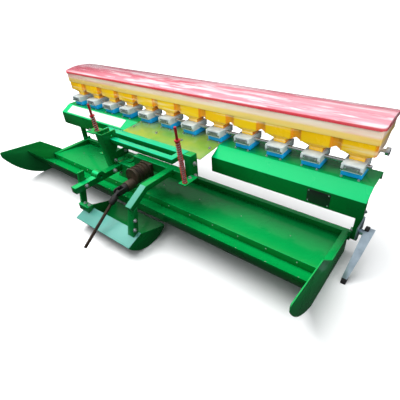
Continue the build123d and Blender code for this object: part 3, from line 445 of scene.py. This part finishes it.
# Main beams and centre cover: folded sheet channels that carry the metering row, and the plate between them.
# The end posts and pivot blocks hang the pan from the beams' ends. The cover has yellowed.
dressed("painted", green_paint,
        {"beam_left": 0.003, "beam_right": 0.003, "end_posts": 0.003, "pivot_blocks": 0.004})
cover_paint = finish_of("yellowed_green", (0.13, 0.34, 0.045), (0.36, 0.40, 0.055), patch=3.4, spread=0.16,
                        rough=0.16, skin=700.0, depth=0.03, coat=0.7, dusting=0.12,
                        dust_colour=(0.42, 0.44, 0.16))
dressed("painted", cover_paint, {"centre_cover": 0.002})


# Label and plate: a plain white film label stuck along the left beam's slope, and a small black plate, bare,
# held to the right beam's face by four rivets.
sheet_t, label_edge, plate_edge = 0.0012, 0.0003, 0.0004
beam_front_y = 0.078
slope_low, slope_high = Vector((0, beam_front_y, 0.391)), Vector((0, 0.160, 0.436))
label_left, label_right = -1.148, -0.470
label_low, label_high = slope_low.lerp(slope_high, 0.12), slope_low.lerp(slope_high, 0.90)
plate_left, plate_right, plate_foot, plate_top = 0.943, 1.058, 0.306, 0.380
rivet_inset, rivet_radius, rivet_height = 0.008, 0.0042, 0.0018


def sheet_piece(name, corners, edge, material):
    """A thin flat piece on four corners, thickened away from what it is fixed to, with eased edges."""
    shape = bmesh.new()
    face = shape.faces.new([shape.verts.new(c) for c in corners])
    face.normal_update()
    away = face.normal.copy()
    grown = bmesh.ops.extrude_face_region(shape, geom=[face])
    tops = [v for v in grown["geom"] if isinstance(v, bmesh.types.BMVert)]
    bmesh.ops.translate(shape, vec=away * sheet_t, verts=tops)
    bmesh.ops.recalc_face_normals(shape, faces=shape.faces)
    rim = [e for e in shape.edges if all(v in tops for v in e.verts)]
    bmesh.ops.bevel(shape, geom=rim, offset=edge, affect="EDGES", segments=2, profile=0.5, material=-1)
    piece_from(shape, name, "frame", material)


def standing(place, along):
    """The matrix that puts a shape made along Z on a surface, facing the given way."""
    return Matrix.Translation(place) @ Vector(along).to_track_quat("Z", "Y").to_matrix().to_4x4()


def rivet(shape, place, along, radius, height):
    """A low domed rivet head, half sunk in a surface."""
    flatten = Matrix.Diagonal((1, 1, height / radius, 1))
    bmesh.ops.create_uvsphere(shape, u_segments=12, v_segments=8, radius=radius,
                              matrix=standing(place, along) @ flatten)


def turned_rod(shape, sides, radius, start, end, place=Matrix()):
    """A closed round or many-sided rod along Z between two heights; returns its edges."""
    middle = Matrix.Translation((0, 0, (start + end) / 2))
    rod = bmesh.ops.create_cone(shape, cap_ends=True, segments=sides, radius1=radius, radius2=radius,
                                depth=end - start, matrix=place @ middle)
    return list(dict.fromkeys(e for v in rod["verts"] for e in v.link_edges))


def hex_bolt(shape, place, along, size):
    """A washer with a hexagon head and a short end of thread, set on a surface."""
    sunk, washer_top, head_top, thread_top = -0.0005, 0.16 * size, 0.90 * size, 1.25 * size
    # columns: sides, radius, from, to
    for sides, radius, start, end in ((20, 1.25 * size, sunk, washer_top), (6, size, washer_top, head_top),
                                      (12, 0.55 * size, head_top, thread_top)):
        edges = turned_rod(shape, sides, radius, start, end, standing(place, along))
        bmesh.ops.bevel(shape, geom=edges, offset=0.06 * size, affect="EDGES", segments=1, profile=0.5,
                        material=-1)


label_white = finish_of("label_white", (0.80, 0.81, 0.80), (0.90, 0.91, 0.90), patch=5.0, spread=0.3,
                        rough=0.30, skin=300.0, depth=0.03, dusting=0.1, dust_colour=(0.62, 0.64, 0.60))
label_corners = [(label_left, *label_low.yz), (label_right, *label_low.yz),
                 (label_right, *label_high.yz), (label_left, *label_high.yz)]
sheet_piece("left_beam_label", label_corners, label_edge, label_white)
plate_black = finish_of("plate_black", (0.008, 0.009, 0.009), (0.020, 0.022, 0.022), patch=40.0, spread=0.2,
                        rough=0.30, skin=500.0, depth=0.1)
plate_corners = [(plate_left, beam_front_y, plate_foot), (plate_right, beam_front_y, plate_foot),
                 (plate_right, beam_front_y, plate_top), (plate_left, beam_front_y, plate_top)]
sheet_piece("right_beam_plate", plate_corners, plate_edge, plate_black)
zinc = finish_of("zinc_plate", (0.50, 0.52, 0.54), (0.72, 0.74, 0.76), patch=30.0, spread=0.25, rough=0.22,
                 skin=300.0, depth=0.1, metallic=0.8)
rivets = bmesh.new()
for x in (plate_left + rivet_inset, plate_right - rivet_inset):
    for z in (plate_foot + rivet_inset, plate_top - rivet_inset):
        rivet(rivets, (x, beam_front_y - sheet_t, z), (0, -1, 0), rivet_radius, rivet_height)
piece_from(rivets, "right_beam_plate_rivets", "frame", zinc)


# Hitch: welded rails and posts of square tube and channel, with the arms that reach forward to the tractor.
# All of it is gloss green, with a painted highlight palest on the rails' tops and a painted mint reflection
# on the right arm's slope.
dressed("painted", green_paint,
        {"right_post": 0.004, "left_mast": 0.002, "guide_plate": 0.0015, "cross_bar": 0.004,
         "foot_bracket": 0.003, "stay_bar": 0.0015, "spring_seats": 0.0015, "left_arm": 0.003,
         "left_link": 0.002, "right_bracket": 0.002})
# Painted highlight on the rails' tops, and a painted reflection in mint on the right arm's slope.
rail_highlight_green, arm_slope_reflection = (0.004, 0.58, 0.30), (0.13, 0.40, 0.34)
rail_paint = green_finish("rail_highlight_green", rail_highlight_green, rail_highlight_green)
dressed("painted", rail_paint, {"rear_rail": 0.004, "front_rail": 0.004})
arm_paint = green_finish("arm_green", level_highlight_green, arm_slope_reflection)
dressed("painted", arm_paint, {"right_arm": 0.003})


# Bolts and studs: zinc-plated heads along the pan's step, nose and floor, and on arms, posts and cover.
# Each is set on the surface that it holds.
def landing(node, start, towards):
    """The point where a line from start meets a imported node, and the way that surface faces."""
    data = frame["nodes"][node].data
    tree = BVHTree.FromPolygons([v.co for v in data.vertices], [p.vertices for p in data.polygons])
    place, facing, _, _ = tree.ray_cast(Vector(start), Vector(towards))
    return place, facing


right, left, back, down = (1, 0, 0), (-1, 0, 0), (0, 1, 0), (0, 0, -1)
# columns: node, count, first x, spacing, y and z that the line starts from, direction, radius, height
stud_rows = [
    ("pan_floor", 13, -1.02, 0.17, (-0.6, 0.096), back, 0.0045, 0.0025),
    ("pan_nose", 13, -0.97, 0.17, (-0.235, 1.0), down, 0.0040, 0.0022),
    ("pan_floor", 7, -0.95, 0.31, (0.02, 1.0), down, 0.0036, 0.0018),
]
studs = bmesh.new()
for node, count, first, spacing, start, towards, radius, height in stud_rows:
    for i in range(count):
        rivet(studs, *landing(node, (first + i * spacing, *start), towards), radius, height)
piece_from(studs, "pan_studs", "frame", zinc)
# columns: node, point that the line starts from, direction, size
bolt_places = [
    ("left_link", (-0.9, -0.424, 0.262), right, 0.012),
    ("left_link", (-0.240, -0.456, 0.9), down, 0.009),
    ("left_link", (-0.198, -0.456, 0.9), down, 0.009),
    ("left_arm", (0.4, -0.424, 0.262), left, 0.012),
    ("left_arm", (0.4, -0.205, 0.262), left, 0.013),
    ("foot_bracket", (-0.235, -0.9, 0.215), back, 0.010),
    ("foot_bracket", (-0.150, -0.9, 0.215), back, 0.010),
    ("foot_bracket", (-0.150, -0.9, 0.262), back, 0.010),
    ("right_bracket", (0.9, -0.462, 0.150), left, 0.010),
    ("right_bracket", (0.9, -0.448, 0.205), left, 0.010),
    ("left_mast", (0.2, -0.150, 0.300), left, 0.011),
    ("left_mast", (0.2, -0.060, 0.334), left, 0.010),
    ("right_post", (0.9, -0.052, 0.322), left, 0.012),
    ("right_post", (0.9, -0.052, 0.400), left, 0.012),
    ("guide_plate", (-0.395, -0.200, 0.9), down, 0.008),
    ("spring_seats", (0.345, -0.110, 0.9), down, 0.009),
    ("end_posts", (1.6, 0.205, 0.262), left, 0.009),
    ("end_posts", (-1.6, 0.205, 0.262), right, 0.009),
    ("end_posts", (-1.6, 0.205, 0.180), right, 0.012),
    ("pivot_blocks", (1.158, 0.205, 0.9), down, 0.007),
]
bolt_places += [("centre_cover", (x, 0.10, 0.9), down, 0.008) for x in (-0.33, -0.11, 0.11, 0.33)]
bolts = bmesh.new()
for node, start, towards, size in bolt_places:
    hex_bolt(bolts, *landing(node, start, towards), size)
piece_from(bolts, "frame_bolts", "frame", zinc)


# Springs: open coils of painted wire round a pale core, with a collar and a plain red rod at the top.
# Each stands on a seat of the hitch and leans a little to the front.
spring_paint = finish_of("spring_red", (0.40, 0.008, 0.018), (0.58, 0.020, 0.034), patch=40.0, spread=0.2,
                         rough=0.26, skin=500.0, depth=0.1, coat=0.4)
core_pale = finish_of("spring_core", (0.82, 0.72, 0.70), (0.94, 0.88, 0.87), patch=40.0, spread=0.2,
                      rough=0.30, skin=400.0, depth=0.05)
spring_foot, spring_top = Vector((0.352, -0.163, 0.341)), Vector((0.352, -0.192, 0.673))
spring_length, coil_length = (spring_top - spring_foot).length, 0.255
wire, coil_radius, turns, turn_steps = 0.0058, 0.0116, 19, 16
wire_sides, rod_sides, core_sides = 8, 24, 20
rod_radius, core_radius, rod_edge, level_within = 0.0072, 0.0089, 0.0012, 1e-6
collar_radius, collar_h, foot_radius, foot_h = 0.0165, 0.008, 0.0150, 0.003
for side, node in ((-1, "spring_left"), (1, "spring_right")):
    shape = bmesh.new()
    wire_place = Matrix.Translation((coil_radius, 0, wire / 2)) @ Matrix.Rotation(pi / 2, 4, "X")
    bmesh.ops.create_circle(shape, segments=wire_sides, radius=wire / 2, matrix=wire_place)
    bmesh.ops.spin(shape, geom=shape.verts[:] + shape.edges[:], cent=(0, 0, 0), axis=(0, 0, 1),
                   dvec=(0, 0, (coil_length - wire) / (turns * turn_steps)), angle=2 * pi * turns,
                   steps=turns * turn_steps)
    bmesh.ops.holes_fill(shape, edges=shape.edges, sides=wire_sides)
    # columns: radius, from, to
    for radius, start, end in ((rod_radius, coil_length, spring_length),
                               (collar_radius, coil_length, coil_length + collar_h),
                               (foot_radius, 0.0, foot_h)):
        edges = turned_rod(shape, rod_sides, radius, start, end)
        rims = [e for e in edges if abs(e.verts[0].co.z - e.verts[1].co.z) < level_within]
        bmesh.ops.bevel(shape, geom=rims, offset=rod_edge, affect="EDGES", segments=2, profile=0.5,
                        material=-1)
    bmesh.ops.recalc_face_normals(shape, faces=shape.faces)
    seat = standing((side * spring_foot.x, spring_foot.y, spring_foot.z), spring_top - spring_foot)
    bmesh.ops.transform(shape, matrix=seat, verts=shape.verts)
    piece_from(shape, node + "_wound", "frame", spring_paint, (node,))
    core = bmesh.new()
    turned_rod(core, core_sides, core_radius, 0.0, coil_length, seat)
    piece_from(core, node + "_core", "frame", core_pale)


# Drive: a cast gear case on the cross bar, a universal joint and a plain rod that the tractor turns.
# The case is left as cast and is dusty, the joint's yokes are blacked, and the rod is oiled steel.
cast_iron = finish_of("gear_case_cast", (0.016, 0.011, 0.007), (0.060, 0.038, 0.022), patch=22.0, spread=0.2,
                      rough=0.45, skin=260.0, depth=0.5, dusting=0.35, dust_colour=(0.20, 0.16, 0.10))
dressed("cast", cast_iron, {"gearbox": 0.004})
yoke_black = finish_of("yoke_black", (0.010, 0.010, 0.010), (0.028, 0.027, 0.026), patch=30.0, spread=0.2,
                       rough=0.36, skin=400.0, depth=0.2)
dressed("blacked", yoke_black, {"fixed_yoke": 0.002, "swing_yoke": 0.002})
oiled_steel = finish_of("oiled_steel", (0.035, 0.022, 0.015), (0.085, 0.055, 0.038), patch=26.0, spread=0.2,
                        rough=0.30, skin=350.0, depth=0.12, metallic=0.55)
dressed("oiled", oiled_steel, {"drive_shaft": 0.001})


# Metering row: white moulded housings on blue bases, each with a small front plate, on one bright shaft.
# Black seed chutes hang below them behind the beams. Screws hold each housing, its plate and its base.
row_count, row_pitch, cover_half = 12, 0.2, 0.355


def fill_lit(pieces):
    """Lets the fill light fall on these pieces."""
    for piece in pieces:
        box_front.objects.link(piece)


meter_white = finish_of("meter_white", (0.38, 0.44, 0.45), (0.64, 0.71, 0.73), patch=18.0, spread=0.25,
                        rough=0.34, skin=500.0, depth=0.12, coat=0.3, dusting=0.12,
                        dust_colour=(0.30, 0.30, 0.28))
fill_lit(dressed("moulded", meter_white, {"meter_housings": 0.003}))
plate_grey = finish_of("plate_grey", (0.10, 0.12, 0.12), (0.24, 0.28, 0.28), patch=60.0, spread=0.2,
                       rough=0.30, skin=500.0, depth=0.08, metallic=0.35)
fill_lit(dressed("moulded", plate_grey, {"meter_plates": 0.001}))
housing_reach, housing_screw_z, housing_screw = 0.043, 0.478, 0.0055
plate_reach, plate_rivet_z, plate_rivet_radius, plate_rivet_height = 0.028, 0.4875, 0.0045, 0.0022
base_reach, base_screw_y, base_screw = 0.040, 0.178, 0.0058
ahead_y, above_z = -0.5, 0.46
screws = bmesh.new()
for i in range(row_count):
    row_x = (i - (row_count - 1) / 2) * row_pitch
    flange = "centre_cover" if abs(row_x) < cover_half else "beam_left" if row_x < 0 else "beam_right"
    for side in (-1, 1):
        in_housing = landing("meter_housings", (row_x + side * housing_reach, ahead_y, housing_screw_z), back)
        hex_bolt(screws, *in_housing, housing_screw)
        in_plate = landing("meter_plates", (row_x + side * plate_reach, ahead_y, plate_rivet_z), back)
        rivet(screws, *in_plate, plate_rivet_radius, plate_rivet_height)
        in_flange = landing(flange, (row_x + side * base_reach, base_screw_y, above_z), down)
        hex_bolt(screws, *in_flange, base_screw)
piece_from(screws, "meter_screws", "frame", zinc)
base_blue = finish_of("base_blue", (0.002, 0.25, 0.62), (0.006, 0.38, 0.80), patch=14.0, spread=0.25,
                      rough=0.28, skin=500.0, depth=0.08, coat=0.3)
fill_lit(dressed("moulded", base_blue, {"meter_bases": 0.003}))
chute_black = finish_of("chute_black", (0.012, 0.012, 0.012), (0.030, 0.030, 0.030), patch=20.0, spread=0.2,
                        rough=0.45, skin=400.0, depth=0.2)
dressed("moulded", chute_black, {"chute_sides": 0.001, "chute_ends": 0.001})
dressed("plated", zinc, {"meter_shaft": 0.001, "end_knob": 0.002})


# Seed box: one long moulded trough with a funnel down to each metering unit and a ridge between the mouths.
# The plastic is bright yellow with traces of film; orange is painted between the rows as the shade in the
# recesses there.
def recess_shade_group():
    """A mask that is full at the middle between two rows and fades towards each funnel, for painted shade."""
    group, into, out = node_group(
        "between_rows_shade", [("Pitch", "NodeSocketFloat", row_pitch), ("Width", "NodeSocketFloat", 0.03)],
        [("Mask", "NodeSocketFloat")])
    nodes, links = group.nodes, group.links
    where = nodes.new("ShaderNodeTexCoord")
    split = nodes.new("ShaderNodeSeparateXYZ")
    half = math_node(nodes, "MULTIPLY", None, 0.5)
    away = math_node(nodes, "PINGPONG")
    fade = nodes.new("ShaderNodeMapRange")
    fade.interpolation_type = "SMOOTHSTEP"
    fade.inputs["To Min"].default_value = 1.0
    fade.inputs["To Max"].default_value = 0.0
    full_share = 0.72
    inner = math_node(nodes, "MULTIPLY", None, full_share)
    links.new(where.outputs["Object"], split.inputs["Vector"])
    links.new(into.outputs["Pitch"], half.inputs[0])
    links.new(split.outputs["X"], away.inputs[0])
    links.new(half.outputs[0], away.inputs[1])
    links.new(away.outputs[0], fade.inputs["Value"])
    links.new(into.outputs["Width"], inner.inputs[0])
    links.new(inner.outputs[0], fade.inputs["From Min"])
    links.new(into.outputs["Width"], fade.inputs["From Max"])
    links.new(fade.outputs["Result"], out.inputs["Mask"])
    return group


def streaks(material, scale, stretch, low, high):
    """A mask of long thin patches, between two values of the mottle."""
    nodes, links = material.node_tree.nodes, material.node_tree.links
    patches = placed(material, mottle, Scale=scale, Stretch=stretch, Spread=0.25)
    run = nodes.new("ShaderNodeMapRange")
    run.inputs["From Min"].default_value = low
    run.inputs["From Max"].default_value = high
    links.new(patches.outputs["Value"], run.inputs["Value"])
    return run.outputs["Result"]


between_rows_shade = recess_shade_group()
box_yellow = finish_of("box_yellow", (0.95, 0.49, 0.003), (0.98, 0.61, 0.006), patch=7.0, spread=0.25,
                       rough=0.22, skin=400.0, depth=0.04, coat=0.4, dusting=0.06,
                       dust_colour=(0.90, 0.66, 0.25))
# Painted shade: a darker orange between the rows, where the recesses lie in shade.
recess_shade = placed(box_yellow, between_rows_shade, Width=0.034)
tint(box_yellow, recess_shade.outputs["Mask"], (0.78, 0.22, 0.012), share=0.8)
film = streaks(box_yellow, scale=9.0, stretch=(0.16, 1, 4.0), low=0.60, high=0.80)
tint(box_yellow, film, (0.97, 0.82, 0.52), share=0.6)
fill_lit(dressed("moulded", box_yellow,
                 {"hopper_front_wall": 0.002, "hopper_rear_wall": 0.0015, "hopper_rear_slope": 0.0015,
                  "hopper_ridges": 0.0015, "funnel_fronts": 0.0015, "funnel_rears": 0.0015}))
# Painted shade: the funnels' side walls, facing away from the light, are a darker orange copy of the box's
# yellow.
shaded_side_orange = finish_of("shaded_side_orange", (0.72, 0.20, 0.012), (0.88, 0.34, 0.02), patch=16.0, spread=0.25,
                        rough=0.30, skin=300.0, depth=0.06, stretch=(1, 1, 0.3), coat=0.3)
fill_lit(dressed("moulded", shaded_side_orange, {"funnel_sides": 0.001}))
end_tan = finish_of("end_tan", (0.78, 0.48, 0.26), (0.92, 0.76, 0.60), patch=12.0, spread=0.25, rough=0.30,
                    skin=300.0, depth=0.06, coat=0.3)
fill_lit(dressed("moulded", end_tan, {"hopper_end_walls": 0.001}))


# Band round the rim: a smooth cream strip that stiffens the box's mouth and carries the hinges at the rear.
# It still has its protective film, pink in streaks, and is yellow along its foot.
def height_group():
    """A mask that runs smoothly from none at one height to full at another."""
    group, into, out = node_group(
        "height", [("Clear", "NodeSocketFloat", 0.0), ("Full", "NodeSocketFloat", 1.0)],
        [("Mask", "NodeSocketFloat")])
    nodes, links = group.nodes, group.links
    where = nodes.new("ShaderNodeTexCoord")
    split = nodes.new("ShaderNodeSeparateXYZ")
    run = nodes.new("ShaderNodeMapRange")
    run.interpolation_type = "SMOOTHSTEP"
    links.new(where.outputs["Object"], split.inputs["Vector"])
    links.new(split.outputs["Z"], run.inputs["Value"])
    links.new(into.outputs["Clear"], run.inputs["From Min"])
    links.new(into.outputs["Full"], run.inputs["From Max"])
    links.new(run.outputs["Result"], out.inputs["Mask"])
    return group


by_height = height_group()
band_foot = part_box("hopper_band")[0].z
band_cream = finish_of("band_cream", (0.86, 0.62, 0.44), (0.95, 0.84, 0.72), patch=9.0, spread=0.2,
                       rough=0.24, skin=240.0, depth=0.2, stretch=(0.25, 1, 2.5), coat=0.5)
pink_film = streaks(band_cream, scale=6.0, stretch=(0.5, 1, 5), low=0.52, high=0.74)
tint(band_cream, pink_film, (0.90, 0.42, 0.40), share=0.6)
yellow_foot = placed(band_cream, by_height, Clear=band_foot + 0.040, Full=band_foot + 0.024)
tint(band_cream, yellow_foot.outputs["Mask"], (0.98, 0.66, 0.12), share=0.85)
fill_lit(dressed("filmed", band_cream, {"hopper_band": 0.002}))


# Lid: a long crowned cap, moulded in red, with a wrinkled protective film over it that dulls it to pink.
# Its rim and underside are plain red, and it turns on hinges along the rear of the band.
lid_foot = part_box("lid")[0].z
lid_red = finish_of("lid_red", (0.58, 0.11, 0.155), (0.69, 0.31, 0.365), patch=5.0, spread=0.16, rough=0.20,
                    skin=90.0, depth=0.35, stretch=(0.22, 1.6, 1), coat=0.6)
# The whitish streaks are partly the film itself and partly a painted reflection of its creases.
broad_film_and_reflection = streaks(lid_red, scale=8.0, stretch=(0.3, 3.0, 1), low=0.46, high=0.80)
tint(lid_red, broad_film_and_reflection, (0.74, 0.64, 0.67), share=0.8)
fine_film_and_reflection = streaks(lid_red, scale=26.0, stretch=(0.25, 2.0, 1), low=0.60, high=0.80)
tint(lid_red, fine_film_and_reflection, (0.74, 0.67, 0.68), share=0.7)
bare_rim = placed(lid_red, by_height, Clear=lid_foot + 0.019, Full=lid_foot + 0.009)
tint(lid_red, bare_rim.outputs["Mask"], (0.78, 0.050, 0.070), share=0.9)
underside = placed(lid_red, facing_way, Way=(0, 0, -1), Low=0.2, High=0.6)
tint(lid_red, underside.outputs["Mask"], (0.58, 0.040, 0.060))
fill_lit(dressed("moulded", lid_red, {"lid": 0.004}, segments=3))
dressed("plated", zinc, {"lid_tongues": 0.001, "lid_hinges": 0.001})


# Parking stand: a zinc-plated steel leg that swings on a clamp at the right end post.
# Black rubber plugs close its two ends.
stand_zinc = finish_of("stand_zinc", (0.34, 0.43, 0.51), (0.58, 0.69, 0.79), patch=24.0, spread=0.25,
                       rough=0.30, skin=300.0, depth=0.12, metallic=0.75)
dressed("plated", stand_zinc, {"stand_clamp": 0.002, "stand_leg": 0.002})
plug_rubber = finish_of("plug_rubber", (0.006, 0.006, 0.006), (0.016, 0.016, 0.016), patch=30.0, spread=0.2,
                        rough=0.5, skin=500.0, depth=0.2)
dressed("moulded", plug_rubber, {"stand_plugs": 0.003})
